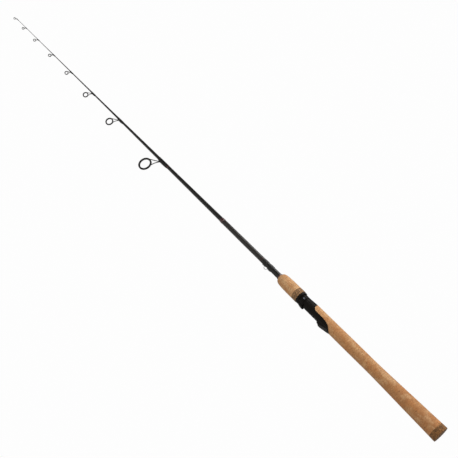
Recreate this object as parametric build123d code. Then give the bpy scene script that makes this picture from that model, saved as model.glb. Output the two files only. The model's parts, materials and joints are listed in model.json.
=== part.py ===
from build123d import *
from build123d.topology import SkipClean
import math
import os

os.makedirs("parts", exist_ok=True)

# ---------------------------------------------------------------------------
# Spinning rod, one-piece blank, cork handle, down-locking reel seat.
# Frame: +X runs from the butt to the tip along the blank's axis, +Z is up,
# and the guides and the reel hang below the blank, on the -Z side.
# Origin: centre of the flat butt end. Millimetres.
# ---------------------------------------------------------------------------

# ---- driving dimensions ----
TIP_X = 1989.0            # end of the blank
BLANK_START = 6.0         # the blank stops inside the butt ring
BLANK_BUTT_R = 6.2        # blank radius inside the handle
HANDLE_STRAIGHT_END = 340.0
BLANK_RADII = [           # x, outer radius in front of the seat
    (340.0, 6.20), (400.0, 6.12), (449.0, 5.82), (524.0, 5.64), (591.0, 5.48),
    (635.0, 5.24), (696.0, 5.00), (760.0, 4.77), (829.0, 4.46), (901.0, 4.03),
    (979.0, 3.66), (1064.0, 3.22), (1140.0, 2.75), (1251.0, 2.23), (1365.0, 1.86),
    (1498.0, 1.50), (1663.0, 1.18), (1820.0, 0.95), (1989.0, 0.78),
]
BLANK_BORE = [            # x, inner radius; the tip is solid
    (6.0, 5.30), (340.0, 5.25), (449.0, 4.80), (591.0, 4.48), (829.0, 3.50),
    (979.0, 2.75), (1140.0, 1.90), (1251.0, 1.45), (1365.0, 1.10), (1546.0, 0.65),
    (1549.0, 0.0),
]
BLANK_SECTORS = 24        # the blank's faces are divided round the axis

BUTT_RING_L = 10.6
GRIP_RADII = [            # rear grip, x and radius
    (10.6, 14.62), (28.9, 14.15), (55.9, 13.60), (85.8, 12.85), (116.8, 12.10),
    (141.0, 11.75), (166.0, 11.85), (201.0, 12.08), (231.0, 12.15),
]
SEAT_R = 12.15            # seat and grip radius where they meet
SADDLE_R = 11.20          # reel seat saddle, a plain cylinder
BARREL_R = 9.6            # threaded barrel, major radius
THREAD_DEPTH = 0.6
THREAD_PITCH = 2.0
SEAT_TAIL_X = 237.5
SLEEVE_X = 241.5
SHOULDER_X = 314.5        # end of the full-size body
BARREL_END_X = 382.0
SEAT_BORE_R = 7.6
SLEEVE_R = 8.6
GLUE = 0.02               # glue line between bonded parts
RUN = 0.3                 # clearance between parts that move on each other

FLAT_END, KEYWAY_END = 348.0, 350.0
HOOD_TRAVEL = 16.0        # sliding hood, towards the tip
LIP_FLOOR = 10.0          # fixed hood: depth of the pocket floor from the axis
LIP_CEIL = 14.2
LIP_OUT = 15.3
HOOD_FLAT = 9.0           # flat under the barrel, floor of the moving pocket
HOOD_CEIL = 13.1
HOOD_OUT = 14.15
HOOD_R = 11.2
FLANGE_R = 13.1

NUT_X0, NUT_X1 = 330.0, 353.0
NUT_R = 11.2
FORE_X0 = 330.8           # rear face of the foregrip's burl ring
FORE_BURL_L = 12.0
FORE_END_X = 390.9
FORE_RADII = [            # foregrip, x and radius
    (342.8, 13.62), (356.0, 13.60), (366.0, 13.48), (373.5, 13.24), (379.2, 12.88),
    (383.8, 12.30), (387.2, 11.40), (389.4, 10.10), (390.5, 8.75), (390.9, 7.30),
]
NOSE_RING_X1 = 394.9
NOSE_RING_R = 6.85
NOSE_BORE_R = 6.30

KEEPER_X = 430.6
BUTT_WRAP_X0, BUTT_WRAP_X1 = 446.4, 590.5
TRIM_X0, TRIM_X1 = 590.5, 600.5

RING_TILT = 7.2           # degrees, guide rings lean towards the tip
# name, leg root x, ring centre x, ring drop below the axis, ceramic inner r,
# ceramic outer r, holder outer r, ceramic length, holder length, leg wire d,
# foot length, wrap behind the root, wrap ahead of the root
GUIDES = [
    ("guide_7", 872.5, 896.0, 37.0, 13.50, 15.90, 18.10, 3.8, 3.1, 2.2, 30.0, 34.0, 13.0),
    ("guide_6", 1110.5, 1127.5, 25.2, 8.05, 9.85, 11.55, 3.1, 2.6, 1.9, 22.0, 25.0, 11.0),
    ("guide_5", 1292.5, 1304.5, 19.4, 5.70, 7.20, 8.70, 2.7, 2.2, 1.65, 18.0, 20.5, 9.5),
    ("guide_4", 1460.0, 1468.5, 13.0, 3.85, 5.12, 6.35, 2.4, 2.0, 1.45, 15.0, 17.0, 8.5),
    ("guide_3", 1612.5, 1621.0, 11.0, 3.20, 4.36, 5.48, 2.2, 1.85, 1.3, 13.5, 15.5, 8.0),
    ("guide_2", 1760.0, 1769.0, 10.7, 2.85, 3.92, 4.98, 2.1, 1.75, 1.2, 12.5, 14.5, 7.5),
    ("guide_1", 1885.0, 1894.0, 9.6, 2.55, 3.54, 4.54, 2.0, 1.65, 1.15, 11.5, 13.5, 7.0),
]
LEG_SPREAD = 52.0         # degrees each side of the ring's inner point
TIP_TUBE_X0, TIP_TUBE_X1 = 1976.0, 1991.0
TIP_RING = (2002.0, 5.2, 2.35, 3.25, 4.10, 1.9, 1.6)  # x, drop, radii, lengths


# ---- helpers ----
def turned(edges_pts, smooth=None):
    """Revolve a closed profile of (x, r) points about the X axis."""
    face = Plane.XZ * make_face(Polyline(*edges_pts, close=True))
    return revolve(face, Axis.X, 360)


def turned_curve(curve_pts, rest_pts, tangents=None):
    """Revolve a profile whose outside is a smooth curve; rest_pts closes it."""
    if tangents:
        spl = Spline(*curve_pts, tangents=tangents)
    else:
        spl = Spline(*curve_pts)
    poly = Polyline(curve_pts[-1], *rest_pts, curve_pts[0])
    face = Plane.XZ * make_face(Curve() + [spl, poly])
    return revolve(face, Axis.X, 360)


def blank_r(x):
    if x <= HANDLE_STRAIGHT_END:
        return BLANK_BUTT_R
    p = BLANK_RADII
    for (xa, ra), (xb, rb) in zip(p, p[1:]):
        if x <= xb:
            return ra + (rb - ra) * (x - xa) / (xb - xa)
    return p[-1][1]


def ring_x(x0, x1, r_in, r_out):
    """Plain ring about the X axis."""
    return turned([(x0, r_in), (x1, r_in), (x1, r_out), (x0, r_out)])


def side_prism(pts, half_w):
    """Prism across the rod from a closed side profile of (x, z) points."""
    face = Plane.XZ * make_face(Polyline(*pts, close=True))
    return extrude(face, half_w, both=True)


def section_bar(x0, x1, half_w, z0, z1, r):
    """Bar along X with a rounded rectangular section, corners of radius r."""
    pl = Plane(origin=(x0, 0, (z0 + z1) / 2), x_dir=(0, 1, 0), z_dir=(1, 0, 0))
    sk = pl * RectangleRounded(2 * half_w, abs(z1 - z0), r)
    return extrude(sk, x1 - x0)


def wire_between(a, b, r):
    """Round bar from a to b with ball ends."""
    a, b = Vector(*a), Vector(*b)
    d = b - a
    pl = Plane(origin=a, z_dir=d)
    bar = extrude(pl * Circle(r), d.length)
    return bar


def ball(p, r):
    return Pos(*p) * Sphere(r)


def one(shape):
    """The single solid of a result, or the shape if it holds several."""
    s = shape.solids()
    return s[0] if len(s) == 1 else shape


nodes = {}

# ---- blank ----
handle_part = [(BLANK_START, BLANK_BUTT_R), (HANDLE_STRAIGHT_END, BLANK_BUTT_R)]
blank_face = Plane.XZ * make_face(
    Curve() + [
        Polyline(*handle_part),
        Polyline(*BLANK_RADII),
        Polyline(BLANK_RADII[-1], (TIP_X, 0.0), BLANK_BORE[-1], *reversed(BLANK_BORE[:-1]),
                 handle_part[0]),
    ]
)
sector = revolve(blank_face, Axis.X, 360 / BLANK_SECTORS)
with SkipClean():
    blank = sector.fuse(*[Rot(360 / BLANK_SECTORS * k, 0, 0) * sector for k in range(1, BLANK_SECTORS)])
nodes["blank"] = blank
blank_core = revolve(
    Plane.XZ * make_face(
        Curve() + [Polyline(*handle_part), Polyline(*BLANK_RADII),
                   Polyline(BLANK_RADII[-1], (TIP_X, 0.0), (BLANK_START, 0.0), handle_part[0])]
    ),
    Axis.X, 360,
)

# ---- butt ring ----
nodes["butt_burl_ring"] = turned([
    (0.0, 0.0), (0.0, 14.30), (0.12, 14.62), (0.45, 14.84), (0.9, 14.88),
    (BUTT_RING_L, 14.62), (BUTT_RING_L, BLANK_BUTT_R + GLUE),
    (BLANK_START - 0.1, BLANK_BUTT_R + GLUE), (BLANK_START - 0.1, 0.0),
])

# ---- dividing surface between the grip's tongue (above) and the seat (below) ----
BOUNDARY = [(234.0, -14.2), (239.4, -11.4), (242.2, -9.3), (245.0, -6.9), (249.0, -4.7),
            (255.5, -2.7), (264.0, -1.6), (274.0, -1.5), (282.0, -1.35), (286.6, -0.5),
            (289.4, 1.7), (290.9, 4.6), (291.8, 8.0), (292.6, 11.2), (293.4, 14.2)]
bsp = Spline(*BOUNDARY)
upper_face = Plane.XZ * make_face(
    Curve() + [bsp, Polyline(BOUNDARY[-1], (293.4, 20.0), (234.0, 20.0), BOUNDARY[0])]
)
upper_zone = extrude(upper_face, 20, both=True)

# ---- rear grip ----
grip_solid = turned_curve(
    GRIP_RADII,
    [(253.0, SEAT_R + 0.04), (290.0, SEAT_R + 0.04), (299.0, SEAT_R + 0.06), (299.0, BLANK_BUTT_R + GLUE),
     (BUTT_RING_L, BLANK_BUTT_R + GLUE)],
)
main_zone = Pos(SEAT_TAIL_X / 2, 0, 0) * Box(SEAT_TAIL_X, 60, 60)
tongue_zone = upper_zone
grip = grip_solid & (main_zone + tongue_zone)
grip = grip - ring_x(SLEEVE_X - 0.1, 320.0, 0.5, SLEEVE_R + GLUE)
# the boundary dips into the grip a little before the tail ends
grip_body = grip

# ---- reel seat ----
body = turned([(SEAT_TAIL_X, SLEEVE_R), (SEAT_TAIL_X, SEAT_R), (272.0, SEAT_R), (286.0, SADDLE_R),
               (SHOULDER_X - 0.6, SADDLE_R), (SHOULDER_X, SADDLE_R - 0.5), (SHOULDER_X, SLEEVE_R)])
swell = Pos(0, 0, 0.55) * turned([(268.0, SLEEVE_R), (268.0, 11.6), (290.0, 11.6), (298.0, 11.5),
                                  (310.5, 10.75), (310.5, SLEEVE_R)])
hump = side_prism([(243.0, -4.0), (243.0, -10.9), (252.0, -12.6), (259.0, -14.2), (263.6, -LIP_OUT),
                   (265.8, -LIP_OUT + 0.15), (269.4, -13.0), (274.0, -11.3), (276.5, -4.0)], 9.0)
hump = hump & section_bar(236.5, 283.0, 9.0, -LIP_OUT, -1.0, 5.0)
shell = body + swell + hump
shell = shell - ring_x(231.0, 322.0, 0.1, SLEEVE_R - 0.05)
shell = shell - grip_body
shell = shell - upper_zone
# keep what lies in front of the tongue and below the boundary
threads = [(SHOULDER_X - 3.0, BARREL_R), (331.4, BARREL_R)]
x = 331.4
while x < BARREL_END_X - 2.6:
    threads += [(x + 0.55, BARREL_R - THREAD_DEPTH), (x + 0.95, BARREL_R - THREAD_DEPTH),
                (x + 1.5, BARREL_R), (x + THREAD_PITCH, BARREL_R)]
    x += THREAD_PITCH
threads += [(BARREL_END_X - 0.8, BARREL_R), (BARREL_END_X, BARREL_R - 0.8)]
barrel = turned([(SHOULDER_X - 3.0, SEAT_BORE_R)] + threads + [(BARREL_END_X, SEAT_BORE_R)])
sleeve = ring_x(SLEEVE_X, SHOULDER_X, SEAT_BORE_R, SLEEVE_R)
seat = shell + sleeve + barrel
# pocket of the fixed hood, open towards the tip
pocket = section_bar(255.0, 283.0, 7.0, -LIP_CEIL, -LIP_FLOOR, 1.6)
# its ceiling slopes with the hood's back, so the wall stays about 1 mm
pocket = pocket & side_prism([(255.0, -9.0), (255.0, -12.1), (259.0, -13.1), (263.6, -LIP_CEIL - 0.01),
                              (264.0, -LIP_CEIL - 1.0), (283.0, -LIP_CEIL - 1.0), (283.0, -9.0)], 8.0)
seat = seat - pocket
# flat under the barrel and keyway along its top
seat = seat - (Pos((SHOULDER_X + FLAT_END) / 2, 0, -HOOD_FLAT - 2.0) * Box(FLAT_END - SHOULDER_X, 24, 4.0))
seat = seat - (Pos((SHOULDER_X + KEYWAY_END) / 2, 0, 10.4) * Box(KEYWAY_END - SHOULDER_X, 3.8, 4.0))
nodes["rear_grip_cork"] = grip_body
nodes["seat_body"] = seat

# ---- arbors between the blank and the seat ----
for nm, xa, xb in (("seat_arbor_rear", 246.0, 274.0), ("seat_arbor_middle", 294.0, 322.0),
                   ("seat_arbor_front", 350.0, 377.0)):
    rb = BLANK_BUTT_R + GLUE
    nodes[nm] = turned([(xa, rb), (xb, rb), (xb, SEAT_BORE_R - 0.4), (xb - 0.4, SEAT_BORE_R - GLUE),
                        (xa + 0.4, SEAT_BORE_R - GLUE), (xa, SEAT_BORE_R - 0.4)])

# ---- sliding hood ----
HB0, HB1 = SHOULDER_X + RUN, 323.6
bore = BARREL_R + RUN
hood = turned([(HB0, bore), (HB0, HOOD_R - 0.3), (HB0 + 0.3, HOOD_R), (HB1 - 1.0, HOOD_R),
               (HB1, HOOD_R - 0.35), (HB1 + 0.9, HOOD_R - 0.3), (HB1 + 2.0, FLANGE_R - 0.6),
               (HB1 + 2.6, FLANGE_R), (329.3, FLANGE_R), (329.7, FLANGE_R - 0.4), (329.7, bore)])
shoe = side_prism([(311.9, -5.0), (311.9, -13.2), (312.3, -HOOD_OUT + 0.3), (313.1, -HOOD_OUT),
                   (317.0, -HOOD_OUT + 0.12), (324.4, -12.2), (326.4, -11.4), (326.4, -5.0)], 8.6)
shoe = shoe & section_bar(310.0, 328.0, 8.6, -HOOD_OUT, -1.0, 4.4)
shoe = shoe - ring_x(308.0, HB0, 0.1, SADDLE_R + 0.35)
shoe = shoe - ring_x(HB0 - 0.5, 331.0, 0.1, bore)
hood = hood + shoe
hood = hood - section_bar(308.0, 324.6, 6.9, -HOOD_CEIL, -HOOD_FLAT + RUN, 1.4)
# the barrel's flat: the pocket is open down to it
key = Pos(321.6, 0, 9.6) * Box(2.6, 3.0, 1.5)
# liner seat inside the band, over the top and both sides
liner_cut = ring_x(316.4, 322.9, bore - 0.05, bore + 0.42) - (Pos(319.6, 0, -9.5) * Box(30, 40, 12))
hood = hood - liner_cut
hood = hood + (key & ring_x(310.0, 328.0, 8.8, bore + 0.6))
# oval window in each side
for sgn in (1, -1):
    win = Plane(origin=(319.6, sgn * 14.0, 0.6), x_dir=(1, 0, 0), z_dir=(0, -sgn, 0)) * Ellipse(2.7, 2.0)
    hood = hood - extrude(win, 5.0)
# groove that holds the nut's lip
hood = hood - ring_x(325.9, 327.8, bore - 0.1, 11.75)
hood = hood - ring_x(327.3, 330.3, bore - 0.1, 11.25)
nodes["sliding_hood"] = hood

liner = ring_x(316.5, 322.8, bore, bore + 0.4) - (Pos(319.6, 0, -9.45) * Box(30, 40, 12.2))
liner = liner - (Pos(322.2, 0, 10) * Box(4.4, 3.2, 8))
nodes["hood_liner_band"] = liner

# ---- foregrip group: nut, burl ring, cork, nose ring ----
nut = turned([(326.25, bore), (326.25, 11.35), (327.45, 11.35), (327.65, 10.9), (NUT_X0, 10.9),
              (NUT_X0, 12.6), (FORE_X0, 12.6), (FORE_X0, NUT_R), (NUT_X1 - 0.5, NUT_R),
              (NUT_X1, NUT_R - 0.5), (NUT_X1, bore)])
nodes["lock_nut"] = nut
xb = FORE_X0 + FORE_BURL_L
nodes["foregrip_burl_ring"] = turned([
    (FORE_X0, NUT_R + GLUE), (FORE_X0, 13.35), (FORE_X0 + 0.4, 13.68), (xb, 13.62), (xb, NUT_R + GLUE)])
nodes["foregrip_cork"] = turned_curve(
    FORE_RADII,
    [(FORE_END_X, NOSE_BORE_R), (387.0, NOSE_BORE_R), (385.0, bore + 0.05), (NUT_X1 + 0.6, bore + 0.05),
     (NUT_X1 + 0.6, NUT_R + GLUE), (xb, NUT_R + GLUE)],
)
nodes["foregrip_nose_ring"] = turned([
    (FORE_END_X, NOSE_BORE_R), (FORE_END_X, NOSE_RING_R + 0.35), (FORE_END_X + 1.4, NOSE_RING_R + 0.35),
    (FORE_END_X + 2.0, NOSE_RING_R), (NOSE_RING_X1 - 0.4, NOSE_RING_R),
    (NOSE_RING_X1, NOSE_RING_R - 0.35), (NOSE_RING_X1, NOSE_BORE_R)])

# ---- hook keeper and its wraps ----
KR = 0.5
rb0 = blank_r(KEEPER_X)
zf = -(rb0 + KR + 0.12)
kp = [(KEEPER_X + dx, zf + dz) for dx, dz in (
    (-11.8, -0.02), (-6.2, -0.05), (-4.2, -0.5), (-3.7, -2.1), (-2.6, -3.6), (0.0, -4.3),
    (2.6, -3.6), (3.7, -2.1), (4.2, -0.5), (6.2, -0.02), (11.6, 0.04))]
kpath = Plane.XZ * Spline(*kp)
kplane = Plane(origin=kpath @ 0, z_dir=kpath % 0)
keeper = sweep(kplane * Circle(KR), path=kpath)
nodes["hook_keeper"] = keeper


def wrap(x0, x1, r_add, end_len, root=None, foot_r=None, foot_drop=None, foot_span=None):
    """Thread and epoxy wrap: a sleeve with rounded ends and a fuller side over a foot."""
    xs = [x0, x0 + 0.18 * end_len, x0 + 0.5 * end_len, x0 + end_len,
          x1 - end_len, x1 - 0.5 * end_len, x1 - 0.18 * end_len, x1]
    fr = [0.06, 0.55, 0.9, 1.0, 1.0, 0.9, 0.55, 0.06]
    pts = [(a, blank_r(a) + r_add * f) for a, f in zip(xs, fr)]
    w = turned_curve(pts, [(x1, 0.15), (x0, 0.15)])
    if foot_r:
        a, b = foot_span
        n = 7
        pts = []
        for i in range(n):
            u = i / (n - 1)
            xx = a + (b - a) * u
            full = math.sin(math.pi * min(1.0, max(0.0, 0.06 + 0.88 * u))) ** 0.55
            pts.append((xx, blank_r(xx) - foot_drop * 0.9 + (foot_r + foot_drop * 0.9) * full))
        e = turned_curve(pts, [(b, 0.1), (a, 0.1)])
        w = w + Pos(0, 0, -foot_drop) * e
    return w


def hollow(w, *cutters):
    out = w - blank_core
    for c in cutters:
        out = out - c
    return out


kw_r = wrap(416.2, 427.9, 0.58, 2.2, foot_r=0.55, foot_drop=0.72, foot_span=(417.2, 427.3))
kw_f = wrap(433.3, 444.7, 0.58, 2.2, foot_r=0.55, foot_drop=0.72, foot_span=(433.9, 443.7))
nodes["keeper_wrap_rear"] = hollow(kw_r, keeper)
nodes["keeper_wrap_front"] = hollow(kw_f, keeper)

# ---- decorative butt wrap and trim band ----
bw = [(BUTT_WRAP_X0, blank_r(BUTT_WRAP_X0) + 0.05), (BUTT_WRAP_X0 + 0.5, blank_r(BUTT_WRAP_X0) + 0.17),
      (BUTT_WRAP_X0 + 2.0, blank_r(BUTT_WRAP_X0) + 0.24), (490.0, blank_r(490.0) + 0.27),
      (545.0, blank_r(545.0) + 0.28), (BUTT_WRAP_X1, blank_r(BUTT_WRAP_X1) + 0.28)]
nodes["butt_wrap"] = hollow(turned_curve(bw, [(BUTT_WRAP_X1, 0.2), (BUTT_WRAP_X0, 0.2)]))
tr0 = blank_r(TRIM_X0)
tb = [(TRIM_X0, tr0 + 0.22), (TRIM_X0 + 1.0, tr0 + 0.50), (TRIM_X0 + 3.5, tr0 + 0.64), (TRIM_X1 - 3.5, tr0 + 0.58),
      (TRIM_X1 - 1.2, tr0 + 0.34), (TRIM_X1, tr0 + 0.02)]
nodes["trim_band"] = hollow(turned_curve(tb, [(TRIM_X1, 0.2), (TRIM_X0, 0.2)]))


# ---- guides ----
def ring_profile(ri, ro, length, rnd):
    """Ring about Z with rounded inner and outer edges, centred on the origin."""
    h = length / 2
    sk = Plane.XZ * (Pos((ri + ro) / 2, 0) * RectangleRounded(ro - ri, length, rnd))
    return revolve(sk, Axis.Z, 360)


def holder_profile(ri, ro, length):
    h = length / 2
    c = 0.3
    sk = Plane.XZ * make_face(Polyline((ri, -h), (ro - c, -h), (ro, -h + c), (ro, h - c), (ro - c, h), (ri, h),
                                       close=True))
    return revolve(sk, Axis.Z, 360)


def ring_plane(xc, drop, tilt=RING_TILT):
    t = math.radians(tilt)
    return Plane(origin=(xc, 0, -drop), x_dir=(0, 1, 0), z_dir=(math.cos(t), 0, math.sin(t)))


def on_ring(xc, drop, r, ang, tilt=RING_TILT):
    """Point on a ring, ang measured from the point nearest the blank."""
    t = math.radians(tilt)
    ux, uz = math.sin(t), -math.cos(t)
    a = math.radians(ang)
    return (xc - ux * r * math.cos(a), r * math.sin(a), -drop - uz * r * math.cos(a))


for (nm, xj, xc, drop, ri, rc, ro, lc, lh, wd, fl, wb, wf) in GUIDES:
    pl = ring_plane(xc, drop)
    ceramic = pl.location * ring_profile(ri, rc, lc, min(0.48 * (rc - ri), 0.42 * lc))
    ceramic = ceramic & (pl.location * Cylinder(rc - 0.01, 20))
    holder = pl.location * holder_profile(rc - 0.01, ro, lh)
    holder = holder - ceramic
    frame = holder
    r = wd / 2
    rb = blank_r(xj)
    rm = (rc + ro) / 2
    toe_z = -(rb + 0.12 + 0.62 * wd)
    for sgn in (1, -1):
        toe = (xj - 0.6, sgn * 0.42 * wd, toe_z)
        knee = (xj + 0.20 * (xc - xj), sgn * (0.42 * wd + 0.10 * rm), toe_z - 0.13 * (drop - rb))
        top = on_ring(xc, drop, rm, sgn * LEG_SPREAD)
        leg_path = Spline(toe, knee, top)
        lp = Plane(origin=leg_path @ 0, z_dir=leg_path % 0)
        leg = sweep(lp * Circle(r), path=leg_path)
        frame = frame + leg + ball(toe, r)
    # foot: flat tapering tongue that lies on the blank under the wrap
    za = blank_r(xj) + 0.03
    zb = blank_r(xj - fl) + 0.05
    foot = side_prism([(xj + 0.4 * wd, -za), (xj + 0.4 * wd, -(za + 0.95 * wd)), (xj - 0.25 * fl, -(za + 0.72 * wd)),
                       (xj - fl, -(zb + 0.22)), (xj - fl, -zb)], 0.85 * wd)
    frame = frame + foot
    frame = frame - blank_core - (pl.location * Cylinder(rc - 0.005, 8 * lc))
    # the holder's bore is the ceramic's seat, flush
    w = wrap(xj - wb, xj + wf, 0.30 + 0.05 * wd, 0.14 * (wb + wf),
             foot_r=0.05 + 0.25 * wd, foot_drop=0.62 * wd, foot_span=(xj - wb + 1.0, xj + 0.55 * wf))
    nodes[nm + "_frame"] = frame
    nodes[nm + "_ring"] = ceramic
    nodes[nm + "_wrap"] = hollow(w, frame)

g7 = GUIDES[0]
tx1 = g7[1] - g7[11]
tx0 = tx1 - 4.0
tp = [(tx0, blank_r(tx0) + 0.05), (tx0 + 0.7, blank_r(tx0) + 0.22), (tx0 + 2.0, blank_r(tx0) + 0.28),
      (tx1 - 0.7, blank_r(tx1) + 0.24), (tx1, blank_r(tx1) + 0.08)]
nodes["guide_7_trim"] = hollow(turned_curve(tp, [(tx1, 0.2), (tx0, 0.2)]))

# ---- tip-top ----
xr, dr, ri, rc, ro, lc, lh = TIP_RING
pl = ring_plane(xr, dr, 20.0)
tip_ring = pl.location * ring_profile(ri, rc, lc, 0.4)
tip_ring = tip_ring & (pl.location * Cylinder(rc - 0.01, 10))
holder = pl.location * holder_profile(rc - 0.01, ro, lh) - tip_ring
tube = turned([(TIP_TUBE_X0, 0.80 + 0.02), (TIP_TUBE_X0, 1.2), (TIP_TUBE_X0 + 0.3, 1.32), (TIP_TUBE_X1 - 0.3, 1.32),
               (TIP_TUBE_X1, 1.05), (TIP_TUBE_X1, 0.0), (TIP_X + 0.15, 0.0), (TIP_X + 0.15, 0.82)])
tip_frame = holder + tube
for sgn in (1, -1):
    a = (TIP_TUBE_X1 - 4.5, sgn * 1.2, -0.5)
    b = on_ring(xr, dr, (rc + ro) / 2, sgn * 75.0, 20.0)
    m = ((a[0] + b[0]) / 2 + 0.6, sgn * 2.9, (a[2] + b[2]) / 2 + 0.2)
    lpth = Spline(a, m, b)
    lpp = Plane(origin=lpth @ 0, z_dir=lpth % 0)
    tip_frame = tip_frame + sweep(lpp * Circle(0.45), path=lpth) + ball(a, 0.45)
tip_frame = tip_frame + wire_between((TIP_TUBE_X1 - 0.5, 0, -0.3), on_ring(xr, dr, (rc + ro) / 2, 0, 20.0), 0.5)
tip_frame = tip_frame - (pl.location * Cylinder(rc - 0.005, 12))
tip_frame = tip_frame - ring_x(TIP_TUBE_X0 - 1, TIP_X + 0.15, 0.01, 0.82)
nodes["tip_top_frame"] = tip_frame
nodes["tip_top_ring"] = tip_ring
tw0, tw1 = TIP_TUBE_X0 - 8.0, TIP_TUBE_X0
twp = [(tw0, 0.86), (tw0 + 0.6, 1.08), (tw0 + 2.5, 1.22), (tw1 - 2.0, 1.30), (tw1, 1.22)]
nodes["tip_wrap"] = hollow(turned_curve(twp, [(tw1, 0.1), (tw0, 0.1)]))

# ---- write one file per sub-part ----
for nm, shp in nodes.items():
    solids = [s for s in shp.solids() if s.volume > 0.02]
    out = solids[0] if len(solids) == 1 else Compound(children=solids)
    out.label = nm
    export_step(out, "parts/" + nm + ".step")
    print(nm, len(solids), round(sum(s.volume for s in solids), 2))
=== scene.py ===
import bpy
import json
import math
from mathutils import Matrix, Vector


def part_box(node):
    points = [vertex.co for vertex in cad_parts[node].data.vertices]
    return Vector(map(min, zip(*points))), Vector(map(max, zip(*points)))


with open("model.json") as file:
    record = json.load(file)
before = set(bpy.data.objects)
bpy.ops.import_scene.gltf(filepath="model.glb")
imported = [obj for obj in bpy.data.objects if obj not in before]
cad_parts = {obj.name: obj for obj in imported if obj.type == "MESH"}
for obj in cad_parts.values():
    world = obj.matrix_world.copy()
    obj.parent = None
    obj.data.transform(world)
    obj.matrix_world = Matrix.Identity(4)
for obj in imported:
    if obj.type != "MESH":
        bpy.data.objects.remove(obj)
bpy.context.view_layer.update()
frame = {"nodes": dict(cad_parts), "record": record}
nodes = frame["nodes"]
record = frame["record"]
slot_of = {s["node"]: s["material_slot"] for s in record["subparts"]}


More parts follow.
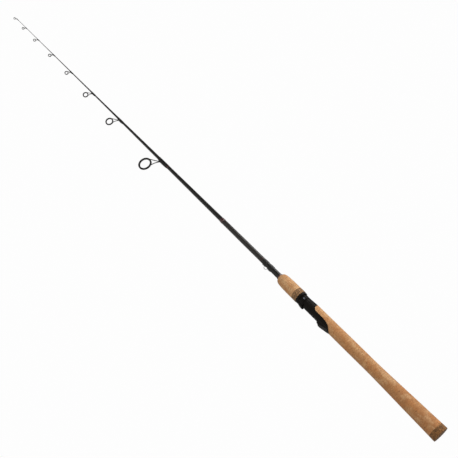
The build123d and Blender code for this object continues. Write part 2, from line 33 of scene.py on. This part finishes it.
# ---------------------------------------------------------------------------
# node helpers: every pattern is laid out in millimetres along the rod
# ---------------------------------------------------------------------------
class Mat:
    def __init__(self, name):
        self.m = bpy.data.materials.new(name)
        self.m.use_nodes = True
        self.nt = self.m.node_tree
        self.nt.nodes.clear()
        self.out = self.nt.nodes.new("ShaderNodeOutputMaterial")
        self.bsdf = self.nt.nodes.new("ShaderNodeBsdfPrincipled")
        self.nt.links.new(self.bsdf.outputs[0], self.out.inputs[0])
        tc = self.nt.nodes.new("ShaderNodeTexCoord")
        sc = self.nt.nodes.new("ShaderNodeVectorMath")
        sc.operation = "SCALE"
        sc.inputs["Scale"].default_value = 1000.0
        self.nt.links.new(tc.outputs["Object"], sc.inputs[0])
        self.P = sc.outputs[0]
        sep = self.nt.nodes.new("ShaderNodeSeparateXYZ")
        self.nt.links.new(self.P, sep.inputs[0])
        self.x, self.y, self.z = sep.outputs

    def link(self, a, sock):
        if isinstance(a, bpy.types.NodeSocket):
            self.nt.links.new(a, sock)
        else:
            sock.default_value = a

    def math(self, op, a, b=None, c=None, clamp=False):
        n = self.nt.nodes.new("ShaderNodeMath")
        n.operation = op
        n.use_clamp = clamp
        self.link(a, n.inputs[0])
        if b is not None:
            self.link(b, n.inputs[1])
        if c is not None:
            self.link(c, n.inputs[2])
        return n.outputs[0]

    def vec(self, x, y, z):
        n = self.nt.nodes.new("ShaderNodeCombineXYZ")
        self.link(x, n.inputs[0])
        self.link(y, n.inputs[1])
        self.link(z, n.inputs[2])
        return n.outputs[0]

    def scaled(self, sx, sy, sz, vector=None):
        n = self.nt.nodes.new("ShaderNodeVectorMath")
        n.operation = "MULTIPLY"
        self.nt.links.new(vector or self.P, n.inputs[0])
        n.inputs[1].default_value = (sx, sy, sz)
        return n.outputs[0]

    def add_vec(self, a, b):
        n = self.nt.nodes.new("ShaderNodeVectorMath")
        n.operation = "ADD"
        self.nt.links.new(a, n.inputs[0])
        self.nt.links.new(b, n.inputs[1])
        return n.outputs[0]

    def noise(self, vector, scale=1.0, detail=4.0, rough=0.55, distortion=0.0, color=False):
        n = self.nt.nodes.new("ShaderNodeTexNoise")
        self.nt.links.new(vector, n.inputs["Vector"])
        n.inputs["Scale"].default_value = scale
        n.inputs["Detail"].default_value = detail
        n.inputs["Roughness"].default_value = rough
        n.inputs["Distortion"].default_value = distortion
        return n.outputs["Color"] if color else n.outputs["Fac"]

    def white(self, w, color=False):
        n = self.nt.nodes.new("ShaderNodeTexWhiteNoise")
        n.noise_dimensions = "1D"
        self.link(w, n.inputs["W"])
        return n.outputs["Color"] if color else n.outputs["Value"]

    def voronoi(self, vector, scale=1.0, feature="F1", rnd=1.0):
        n = self.nt.nodes.new("ShaderNodeTexVoronoi")
        n.feature = feature
        self.nt.links.new(vector, n.inputs["Vector"])
        n.inputs["Scale"].default_value = scale
        n.inputs["Randomness"].default_value = rnd
        return n

    def ramp(self, fac, stops, mode="LINEAR"):
        n = self.nt.nodes.new("ShaderNodeValToRGB")
        cr = n.color_ramp
        cr.interpolation = mode
        while len(cr.elements) > 1:
            cr.elements.remove(cr.elements[-1])
        for i, (p, c) in enumerate(stops):
            e = cr.elements[0] if i == 0 else cr.elements.new(p)
            e.position = p
            if isinstance(c, (int, float)):
                c = (c, c, c)
            e.color = (*c, 1.0)
        self.link(fac, n.inputs[0])
        return n.outputs[0]

    def step(self, v, lo, hi, a=0.0, b=1.0):
        n = self.nt.nodes.new("ShaderNodeMapRange")
        n.interpolation_type = "SMOOTHSTEP"
        n.clamp = True
        self.link(v, n.inputs["Value"])
        n.inputs["From Min"].default_value = lo
        n.inputs["From Max"].default_value = hi
        n.inputs["To Min"].default_value = a
        n.inputs["To Max"].default_value = b
        return n.outputs[0]

    def mix(self, fac, a, b, mode="MIX"):
        n = self.nt.nodes.new("ShaderNodeMix")
        n.data_type = "RGBA"
        n.blend_type = mode
        n.clamp_factor = True
        self.link(fac, n.inputs[0])
        for v, s in ((a, n.inputs[6]), (b, n.inputs[7])):
            if isinstance(v, tuple):
                s.default_value = (*v, 1.0)
            else:
                self.link(v, s)
        return n.outputs[2]

    def bump(self, height, mm, strength=1.0, normal=None):
        n = self.nt.nodes.new("ShaderNodeBump")
        n.inputs["Strength"].default_value = strength
        n.inputs["Distance"].default_value = mm / 1000.0
        self.nt.links.new(height, n.inputs["Height"])
        if normal is not None:
            self.nt.links.new(normal, n.inputs["Normal"])
        return n.outputs[0]

    def done(self, color=None, rough=None, normal=None, metal=None, coat=None, coat_rough=None,
             coat_normal=None, **fixed):
        b = self.bsdf
        for v, name in ((color, "Base Color"), (rough, "Roughness"), (normal, "Normal"), (metal, "Metallic")):
            if v is None:
                continue
            if isinstance(v, bpy.types.NodeSocket):
                self.nt.links.new(v, b.inputs[name])
            elif isinstance(v, tuple):
                b.inputs[name].default_value = (*v, 1.0)
            else:
                b.inputs[name].default_value = v
        if coat is not None:
            b.inputs["Coat Weight"].default_value = coat
        if coat_rough is not None:
            b.inputs["Coat Roughness"].default_value = coat_rough
        if coat_normal is not None:
            self.nt.links.new(coat_normal, b.inputs["Coat Normal"])
        for k, v in fixed.items():
            b.inputs[k.replace("_", " ")].default_value = v
        return self.m


# ---------------------------------------------------------------------------
# materials
# ---------------------------------------------------------------------------
RING = 12.7    # length of one cork ring along the grip
wrap_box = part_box("butt_wrap")
WRAP_MM = (wrap_box[0][0] * 1000.0, wrap_box[1][0] * 1000.0)


def cork():
    m = Mat("cork")
    u = m.math("DIVIDE", m.math("ADD", m.x, 5.1), RING)
    idx = m.math("FLOOR", u)
    w1 = m.white(idx)
    w2 = m.white(m.math("ADD", idx, 31.7))
    wc = m.white(m.math("ADD", idx, 7.3), color=True)
    # each ring is cut from another piece of bark, so its pattern starts elsewhere
    shift = m.nt.nodes.new("ShaderNodeVectorMath")
    shift.operation = "SCALE"
    shift.inputs["Scale"].default_value = 90.0
    m.nt.links.new(wc, shift.inputs[0])
    Q = m.add_vec(m.P, shift.outputs[0])
    mott = m.noise(m.scaled(0.13, 0.09, 0.09, Q), 1.0, 5.0, 0.6)
    base = m.ramp(mott, [(0.26, (0.33, 0.145, 0.050)), (0.42, (0.47, 0.235, 0.092)),
                         (0.56, (0.57, 0.315, 0.135)), (0.74, (0.68, 0.420, 0.205))])
    # ring to ring: paler, redder or browner bark
    base = m.mix(m.step(w1, 0.0, 1.0, 0.0, 0.60), base, (0.45, 0.205, 0.078))
    base = m.mix(m.step(w2, 0.55, 1.0, 0.0, 0.45), base, (0.68, 0.420, 0.215))
    # the butt half is browner from handling
    base = m.mix(m.step(m.x, 10.0, 240.0, 0.50, 0.0), base, (0.33, 0.130, 0.045))
    base = m.mix(m.step(m.x, 150.0, 330.0, 0.0, 0.30), base, (0.66, 0.400, 0.200))
    # broad orange and pale patches, longer along the grip than round it
    patch = m.noise(m.scaled(0.040, 0.105, 0.105), 1.0, 2.0, 0.5, 0.4)
    base = m.mix(m.step(patch, 0.50, 0.66, 0.0, 0.58), base, (0.48, 0.195, 0.062))
    base = m.mix(m.step(patch, 0.34, 0.46, 0.42, 0.0), base, (0.66, 0.430, 0.225))
    # growth layers: faint bands that lean a little in every ring
    lean = m.math("MULTIPLY", m.math("SUBTRACT", w2, 0.5), 2.4)
    gl = m.math("ADD", m.math("MULTIPLY", m.z, lean), m.math("MULTIPLY", m.y, m.math("SUBTRACT", w1, 0.5)))
    gl = m.math("ADD", m.math("MULTIPLY", m.x, 0.9), gl)
    gl = m.math("ADD", gl, m.math("MULTIPLY", m.noise(Q, 0.22, 3.0, 0.6), 9.0))
    band = m.math("SINE", m.math("MULTIPLY", gl, 1.55))
    base = m.mix(m.step(band, 0.40, 1.0, 0.0, 0.34), base, (0.28, 0.115, 0.040))
    # cell grain
    grain = m.noise(Q, 2.3, 5.0, 0.75)
    base = m.mix(m.step(grain, 0.36, 0.66, 0.18, 0.0), base, (0.29, 0.125, 0.045))
    base = m.mix(m.step(grain, 0.58, 0.78, 0.0, 0.22), base, (0.76, 0.520, 0.285))
    # reddish brown streaks across the ring
    streak = m.noise(m.scaled(1.05, 0.20, 0.20, Q), 0.85, 4.0, 0.6, 0.8)
    base = m.mix(m.step(streak, 0.54, 0.68, 0.0, 0.62), base, (0.27, 0.095, 0.030))
    # lenticels: short dark pits
    warp = m.nt.nodes.new("ShaderNodeVectorMath")
    warp.operation = "SCALE"
    warp.inputs["Scale"].default_value = 1.5
    m.nt.links.new(m.noise(Q, 0.9, 3.0, 0.6, color=True), warp.inputs[0])
    Qw = m.add_vec(Q, warp.outputs[0])
    v1 = m.voronoi(m.scaled(1.0, 0.42, 0.42, Qw), 0.36)
    sep = m.nt.nodes.new("ShaderNodeSeparateColor")
    m.nt.links.new(v1.outputs["Color"], sep.inputs[0])
    size1 = m.math("MULTIPLY", m.step(sep.outputs[0], 0.52, 1.0, 0.0, 1.0), 0.30)
    pit1 = m.step(m.math("SUBTRACT", size1, v1.outputs["Distance"]), -0.02, 0.09)
    v2 = m.voronoi(m.scaled(0.8, 0.8, 0.8, Qw), 1.15)
    sep2 = m.nt.nodes.new("ShaderNodeSeparateColor")
    m.nt.links.new(v2.outputs["Color"], sep2.inputs[0])
    size2 = m.math("MULTIPLY", m.step(sep2.outputs[1], 0.72, 1.0, 0.0, 1.0), 0.34)
    pit2 = m.step(m.math("SUBTRACT", size2, v2.outputs["Distance"]), -0.02, 0.10)
    pits = m.math("MAXIMUM", m.math("MULTIPLY", pit1, 0.9), m.math("MULTIPLY", pit2, 0.6))
    # some pits are filled with a paler paste, as on a finished grip
    filled = m.step(sep.outputs[2], 0.62, 0.66)
    pit_col = m.mix(filled, (0.085, 0.038, 0.017), (0.44, 0.27, 0.14))
    base = m.mix(m.math("MULTIPLY", pits, 0.85), base, pit_col)
    # glue seams between the rings
    f = m.math("FRACT", u)
    edge = m.math("MINIMUM", f, m.math("SUBTRACT", 1.0, f))
    wob = m.math("MULTIPLY", m.math("SUBTRACT", m.noise(m.P, 0.8, 2.0), 0.5), 0.006)
    edge = m.math("ADD", edge, wob)
    seam = m.step(edge, 0.003, 0.013, 1.0, 0.0)
    seam = m.math("MULTIPLY", seam, m.step(m.noise(m.P, 0.35, 3.0), 0.30, 0.60, 0.25, 0.85))
    base = m.mix(m.math("MULTIPLY", seam, 0.62), base, (0.20, 0.095, 0.042))
    # height: pits and seams down, grain fine
    h = m.math("SUBTRACT", m.math("MULTIPLY", grain, 0.22), m.math("MULTIPLY", pits, m.math("SUBTRACT", 1.0, m.math("MULTIPLY", filled, 0.8))))
    h = m.math("SUBTRACT", h, m.math("MULTIPLY", seam, 0.28))
    nrm = m.bump(h, 0.18, 0.60)
    rough = m.step(grain, 0.3, 0.7, 0.86, 0.66)
    return m.done(base, rough, nrm, Specular_IOR_Level=0.22, Sheen_Weight=0.10, Sheen_Roughness=0.45,
                  Sheen_Tint=(1.0, 0.93, 0.82, 1.0))


def burl():
    m = Mat("burl_cork")
    warp = m.nt.nodes.new("ShaderNodeVectorMath")
    warp.operation = "SCALE"
    warp.inputs["Scale"].default_value = 0.9
    m.nt.links.new(m.noise(m.P, 1.1, 3.0, 0.6, color=True), warp.inputs[0])
    Q = m.add_vec(m.P, warp.outputs[0])
    v = m.voronoi(Q, 0.55)
    e = m.voronoi(Q, 0.55, feature="DISTANCE_TO_EDGE")
    vs = m.voronoi(Q, 1.5)
    sep = m.nt.nodes.new("ShaderNodeSeparateColor")
    m.nt.links.new(v.outputs["Color"], sep.inputs[0])
    sep2 = m.nt.nodes.new("ShaderNodeSeparateColor")
    m.nt.links.new(vs.outputs["Color"], sep2.inputs[0])
    big = m.ramp(sep.outputs[0], [(0.0, (0.085, 0.045, 0.019)), (0.20, (0.140, 0.074, 0.030)),
                                  (0.42, (0.190, 0.098, 0.038)), (0.66, (0.25, 0.130, 0.050)),
                                  (0.86, (0.33, 0.180, 0.075)), (1.0, (0.38, 0.22, 0.100))], "CONSTANT")
    small = m.ramp(sep2.outputs[1], [(0.0, (0.075, 0.040, 0.017)), (0.4, (0.15, 0.080, 0.032)),
                                     (0.75, (0.22, 0.120, 0.050)), (0.92, (0.34, 0.20, 0.095))], "CONSTANT")
    col = m.mix(m.step(m.noise(m.P, 0.5, 2.0), 0.44, 0.56), big, small)
    grain = m.noise(m.P, 3.0, 4.0, 0.7)
    col = m.mix(m.step(grain, 0.35, 0.65, 0.35, 0.0), col, (0.035, 0.020, 0.010))
    edge = m.step(e.outputs["Distance"], 0.02, 0.10, 1.0, 0.0)
    col = m.mix(m.math("MULTIPLY", edge, 0.6), col, (0.040, 0.022, 0.011))
    at_butt = m.step(m.x, 60.0, 240.0, 1.0, 0.0)
    col = m.mix(at_butt, m.mix(1.0, col, (1.95, 1.95, 2.05), "MULTIPLY"), m.mix(1.0, col, (1.45, 1.22, 0.92), "MULTIPLY"))
    h = m.math("SUBTRACT", m.math("MULTIPLY", grain, 0.4), m.math("MULTIPLY", edge, 0.7))
    nrm = m.bump(h, 0.14, 0.8)
    return m.done(col, m.step(grain, 0.3, 0.7, 0.8, 0.6), nrm, Specular_IOR_Level=0.22, Sheen_Weight=0.06,
                  Sheen_Roughness=0.45)


def carbon():
    m = Mat("blank_carbon")
    # fibres run along the blank
    fib = m.noise(m.scaled(0.020, 3.2, 3.2), 1.0, 3.0, 0.6)
    slow = m.noise(m.scaled(0.012, 0.10, 0.10), 1.0, 2.0, 0.5)
    col = m.ramp(fib, [(0.30, (0.0045, 0.0038, 0.0028)), (0.62, (0.0085, 0.0074, 0.0056)),
                       (0.80, (0.0150, 0.0134, 0.0108))])
    col = m.mix(m.step(slow, 0.35, 0.7, 0.0, 0.35), col, (0.0050, 0.0045, 0.0038))
    # very faint turns left by the wrapping tape
    turn = m.math("SINE", m.math("MULTIPLY", m.math("ADD", m.x, m.math("MULTIPLY", m.y, 0.25)), 1.35))
    orange = m.noise(m.P, 0.8, 2.0, 0.5)
    h = m.math("ADD", m.math("MULTIPLY", turn, 0.10), m.math("MULTIPLY", orange, 0.5))
    nrm = m.bump(h, 0.02, 0.5)
    rough = m.step(fib, 0.3, 0.7, 0.40, 0.28)
    return m.done(col, rough, nrm, coat=0.40, coat_rough=0.07, coat_normal=m.bump(orange, 0.010, 0.5),
                  Specular_IOR_Level=0.18)


def thread(name, dark, light, pitch=0.22, coat_rough=0.05, coat=0.40, extra=None, flecks=None):
    """Turns of thread laid side by side under clear epoxy."""
    m = Mat(name)
    wob = m.math("MULTIPLY", m.noise(m.P, 0.45, 2.0), 0.30)
    ph = m.math("DIVIDE", m.math("ADD", m.x, wob), pitch)
    rib = m.math("ABSOLUTE", m.math("SUBTRACT", m.math("FRACT", ph), 0.5))
    rib = m.math("SUBTRACT", 1.0, m.math("MULTIPLY", rib, 2.0))            # 0 in the grooves, 1 on top
    lay = m.white(m.math("FLOOR", ph))
    twist = m.noise(m.scaled(6.0, 1.4, 1.4), 1.0, 3.0, 0.6)
    # painted shade: the rib term darkens the colour in the grooves between turns and lightens the top of each turn; the
    # twist and lay terms are the thread's own tone
    f = m.math("ADD", m.math("MULTIPLY", rib, 0.55), m.math("MULTIPLY", twist, 0.45))
    f = m.math("ADD", f, m.math("MULTIPLY", m.math("SUBTRACT", lay, 0.5), 0.18))
    col = m.ramp(f, [(0.18, dark), (0.80, light)])
    if extra:
        col = extra(m, col)
    if flecks:
        col = m.mix(m.step(twist, 0.62, 0.72, 0.0, 0.5), col, flecks)
    pool = m.noise(m.scaled(0.30, 0.45, 0.45), 1.0, 2.0, 0.5)              # the epoxy's own waves
    h = m.math("POWER", m.math("MAXIMUM", rib, 0.001), 0.6)
    nrm = m.bump(h, 0.05, 0.55)
    return m.done(col, m.step(twist, 0.3, 0.7, 0.5, 0.34), nrm, coat=coat, coat_rough=coat_rough,
                  coat_normal=m.bump(pool, 0.12, 0.55), Specular_IOR_Level=0.2)


def butt_wrap_bands(m, col):
    # a few turns of dark red thread start the long wrap, and a finer one closes it
    a = m.step(m.x, WRAP_MM[0] + 1.2, WRAP_MM[0] + 1.5)
    b = m.step(m.x, WRAP_MM[0] + 6.6, WRAP_MM[0] + 6.9, 1.0, 0.0)
    col = m.mix(m.math("MULTIPLY", m.math("MULTIPLY", a, b), 0.85), col, (0.022, 0.0065, 0.0060))
    a = m.step(m.x, WRAP_MM[1] - 5.1, WRAP_MM[1] - 4.8)
    b = m.step(m.x, WRAP_MM[1] - 2.5, WRAP_MM[1] - 2.2, 1.0, 0.0)
    return m.mix(m.math("MULTIPLY", m.math("MULTIPLY", a, b), 0.80), col, (0.024, 0.0070, 0.0068))


def seat_plastic():
    m = Mat("seat_plastic")
    tex = m.noise(m.P, 5.5, 4.0, 0.7)
    slow = m.noise(m.P, 0.10, 3.0, 0.5)
    col = m.ramp(slow, [(0.3, (0.0036, 0.0025, 0.0015)), (0.7, (0.0064, 0.0047, 0.0031))])
    col = m.mix(m.step(tex, 0.62, 0.74, 0.0, 0.30), col, (0.0160, 0.0140, 0.0120))
    # hairline where the two halves of the mould met
    part = m.step(m.math("ABSOLUTE", m.y), 0.03, 0.10, 1.0, 0.0)
    h = m.math("ADD", m.math("MULTIPLY", tex, 0.55), m.math("MULTIPLY", part, 0.35))
    nrm = m.bump(h, 0.05, 0.7)
    return m.done(col, m.step(tex, 0.3, 0.7, 0.56, 0.42), nrm, Specular_IOR_Level=0.11)


def nut_plastic():
    m = Mat("nut_plastic")
    tex = m.noise(m.P, 3.5, 3.0, 0.6)
    col = m.ramp(tex, [(0.3, (0.010, 0.0095, 0.0095)), (0.7, (0.018, 0.017, 0.0165))])
    return m.done(col, m.step(tex, 0.3, 0.7, 0.48, 0.36), m.bump(tex, 0.03, 0.6), Specular_IOR_Level=0.2)


def arbor_foam():
    m = Mat("arbor_foam")
    v = m.voronoi(m.P, 2.2)
    col = m.ramp(v.outputs["Distance"], [(0.0, (0.26, 0.20, 0.12)), (0.35, (0.42, 0.34, 0.22)), (0.8, (0.50, 0.42, 0.29))])
    return m.done(col, 0.9, m.bump(v.outputs["Distance"], 0.15, 0.8))


def metal(name, dark, light, rough_lo, rough_hi, along=True, coat=None, bump=0.010):
    m = Mat(name)
    v = m.scaled(0.25, 5.0, 5.0) if along else m.scaled(5.0, 0.6, 0.6)
    lines = m.noise(v, 1.0, 3.0, 0.65)
    cloud = m.noise(m.P, 0.6, 3.0, 0.5)
    col = m.mix(m.step(cloud, 0.3, 0.7), dark, light)
    col = m.mix(m.step(lines, 0.45, 0.75, 0.0, 0.35), col, light)
    rough = m.step(lines, 0.3, 0.7, rough_lo, rough_hi)
    return m.done(col, rough, m.bump(lines, bump, 0.5), 1.0, coat=coat, coat_rough=0.04 if coat else None)


def red_trim():
    m = Mat("dark_red_trim")
    fl = m.voronoi(m.P, 6.0)
    sep = m.nt.nodes.new("ShaderNodeSeparateColor")
    m.nt.links.new(fl.outputs["Color"], sep.inputs[0])
    cloud = m.noise(m.P, 0.7, 3.0, 0.5)
    col = m.mix(cloud, (0.034, 0.011, 0.009), (0.075, 0.024, 0.020))
    col = m.mix(m.step(sep.outputs[0], 0.80, 1.0, 0.0, 0.5), col, (0.17, 0.085, 0.075))
    lines = m.noise(m.scaled(4.0, 0.4, 0.4), 1.0, 3.0, 0.6)
    return m.done(col, m.step(lines, 0.3, 0.7, 0.28, 0.42), m.bump(lines, 0.02, 0.5), 0.75, coat=0.8, coat_rough=0.06)


def ceramic():
    m = Mat("guide_ceramic")
    cloud = m.noise(m.P, 1.4, 4.0, 0.6)
    spk = m.noise(m.P, 9.0, 2.0, 0.6)
    col = m.ramp(cloud, [(0.3, (0.008, 0.008, 0.0085)), (0.7, (0.016, 0.016, 0.017))])
    col = m.mix(m.step(spk, 0.66, 0.76, 0.0, 0.4), col, (0.036, 0.036, 0.038))
    return m.done(col, m.step(cloud, 0.3, 0.7, 0.10, 0.20), m.bump(spk, 0.006, 0.5), coat=0.3, coat_rough=0.05,
                  Specular_IOR_Level=0.4)


MATERIALS = {
    "cork": cork(),
    "burl_cork": burl(),
    "blank_carbon": carbon(),
    "epoxy_wrap": thread("epoxy_wrap", (0.0026, 0.0021, 0.0015), (0.0075, 0.0062, 0.0046), coat=0.32),
    "butt_wrap": thread("butt_wrap", (0.0085, 0.0070, 0.0056), (0.0260, 0.0222, 0.0185), pitch=0.26,
                        coat_rough=0.10, extra=butt_wrap_bands, flecks=(0.055, 0.048, 0.040)),
    "red_thread": thread("red_thread", (0.022, 0.007, 0.006), (0.070, 0.020, 0.017)),
    "seat_plastic": seat_plastic(),
    "nut_plastic": nut_plastic(),
    "arbor_foam": arbor_foam(),
    "liner_steel": metal("liner_steel", (0.060, 0.066, 0.078), (0.130, 0.142, 0.165), 0.26, 0.40, along=False, bump=0.02),
    "keeper_wire": metal("keeper_wire", (0.30, 0.30, 0.31), (0.48, 0.48, 0.50), 0.14, 0.24),
    "guide_frame_steel": metal("guide_frame_steel", (0.022, 0.021, 0.019), (0.055, 0.052, 0.048), 0.22, 0.34, coat=0.2),
    "dark_red_trim": red_trim(),
    "guide_ceramic": ceramic(),
}

for n, o in nodes.items():
    mat = MATERIALS[slot_of[n]]
    o.data.materials.clear()
    o.data.materials.append(mat)

# ---------------------------------------------------------------------------
# floor, light and camera
# ---------------------------------------------------------------------------
FLOOR_Z = -1.30


def floor():
    me = bpy.data.meshes.new("studio_floor")
    n, half = 8, 60.0
    verts = [(-half + 2 * half * i / n, -half + 2 * half * j / n, FLOOR_Z) for j in range(n + 1) for i in range(n + 1)]
    faces = [(j * (n + 1) + i, j * (n + 1) + i + 1, (j + 1) * (n + 1) + i + 1, (j + 1) * (n + 1) + i)
             for j in range(n) for i in range(n)]
    me.from_pydata(verts, [], faces)
    o = bpy.data.objects.new("studio_floor", me)
    bpy.context.scene.collection.objects.link(o)
    mt = bpy.data.materials.new("studio_floor")
    mt.use_nodes = True
    nt = mt.node_tree
    nt.nodes.clear()
    out = nt.nodes.new("ShaderNodeOutputMaterial")
    mix = nt.nodes.new("ShaderNodeMixShader")
    lp = nt.nodes.new("ShaderNodeLightPath")
    dif = nt.nodes.new("ShaderNodeBsdfDiffuse")
    dif.inputs[0].default_value = (0.70, 0.70, 0.69, 1)
    em = nt.nodes.new("ShaderNodeEmission")
    em.inputs[0].default_value = (0.985, 0.985, 0.985, 1)
    nt.links.new(lp.outputs["Is Camera Ray"], mix.inputs[0])
    nt.links.new(dif.outputs[0], mix.inputs[1])
    nt.links.new(em.outputs[0], mix.inputs[2])
    nt.links.new(mix.outputs[0], out.inputs[0])
    me.materials.append(mt)


floor()

world = bpy.data.worlds.new("studio")
bpy.context.scene.world = world
world.use_nodes = True
wt = world.node_tree
wt.nodes.clear()
wout = wt.nodes.new("ShaderNodeOutputWorld")
bg = wt.nodes.new("ShaderNodeBackground")
lp = wt.nodes.new("ShaderNodeLightPath")
tc = wt.nodes.new("ShaderNodeTexCoord")
sp = wt.nodes.new("ShaderNodeSeparateXYZ")
wt.links.new(tc.outputs["Generated"], sp.inputs[0])
mr = wt.nodes.new("ShaderNodeMapRange")
mr.inputs["From Min"].default_value = -0.6
mr.inputs["From Max"].default_value = 0.9
mr.inputs["To Min"].default_value = 0.16
mr.inputs["To Max"].default_value = 0.62
wt.links.new(sp.outputs["Z"], mr.inputs["Value"])
gl = wt.nodes.new("ShaderNodeMath")
gl.operation = "MULTIPLY_ADD"
wt.links.new(lp.outputs["Is Glossy Ray"], gl.inputs[0])
gl.inputs[1].default_value = -0.62
gl.inputs[2].default_value = 1.0
gm = wt.nodes.new("ShaderNodeMath")
gm.operation = "MULTIPLY"
wt.links.new(mr.outputs[0], gm.inputs[0])
wt.links.new(gl.outputs[0], gm.inputs[1])
mx = wt.nodes.new("ShaderNodeMix")
mx.data_type = "FLOAT"
wt.links.new(lp.outputs["Is Camera Ray"], mx.inputs[0])
wt.links.new(gm.outputs[0], mx.inputs[2])
mx.inputs[3].default_value = 0.985
wt.links.new(mx.outputs[0], bg.inputs["Strength"])
bg.inputs[0].default_value = (1, 1, 1, 1)
wt.links.new(bg.outputs[0], wout.inputs[0])


def area(name, loc, aim, size, size_y, power, color=(1, 1, 1)):
    L = bpy.data.lights.new(name, "AREA")
    L.shape = "RECTANGLE"
    L.size, L.size_y = size, size_y
    L.energy = power
    L.color = color
    o = bpy.data.objects.new(name, L)
    o.location = loc
    o.rotation_mode = "QUATERNION"
    o.rotation_quaternion = (Vector(aim) - Vector(loc)).to_track_quat("-Z", "Y")
    bpy.context.scene.collection.objects.link(o)
    o.visible_camera = False
    return o


area("key_top", (0.9, 0.9, 2.6), (0.9, 0, 0), 3.2, 1.6, 57.0)
area("fill_front", (0.2, 2.6, 0.9), (0.7, 0, 0), 2.4, 1.2, 17.0)
area("strip_front", (0.5, 2.4, 0.75), (0.9, 0, 0), 3.4, 0.14, 9.0)

cam_data = bpy.data.cameras.new("camera")
cam = bpy.data.objects.new("camera", cam_data)
bpy.context.scene.collection.objects.link(cam)
right = Vector((-0.579391, -0.220413, 0.784681)).normalized()
up = Vector((0.570959, 0.577282, 0.583739)).normalized()
back = right.cross(up).normalized()
up = back.cross(right).normalized()
M = Matrix((right, up, back)).transposed().to_4x4()
M.translation = Vector((-0.078596, 0.871809, -0.234684))
cam.matrix_world = M
cam_data.sensor_width = 36.0
cam_data.lens = 500.0 / 458.0 * 36.0
cam_data.clip_start = 0.02
cam_data.clip_end = 200.0
bpy.context.scene.camera = cam

vs = bpy.context.scene.view_settings
vs.view_transform = "Standard"
vs.look = "None"
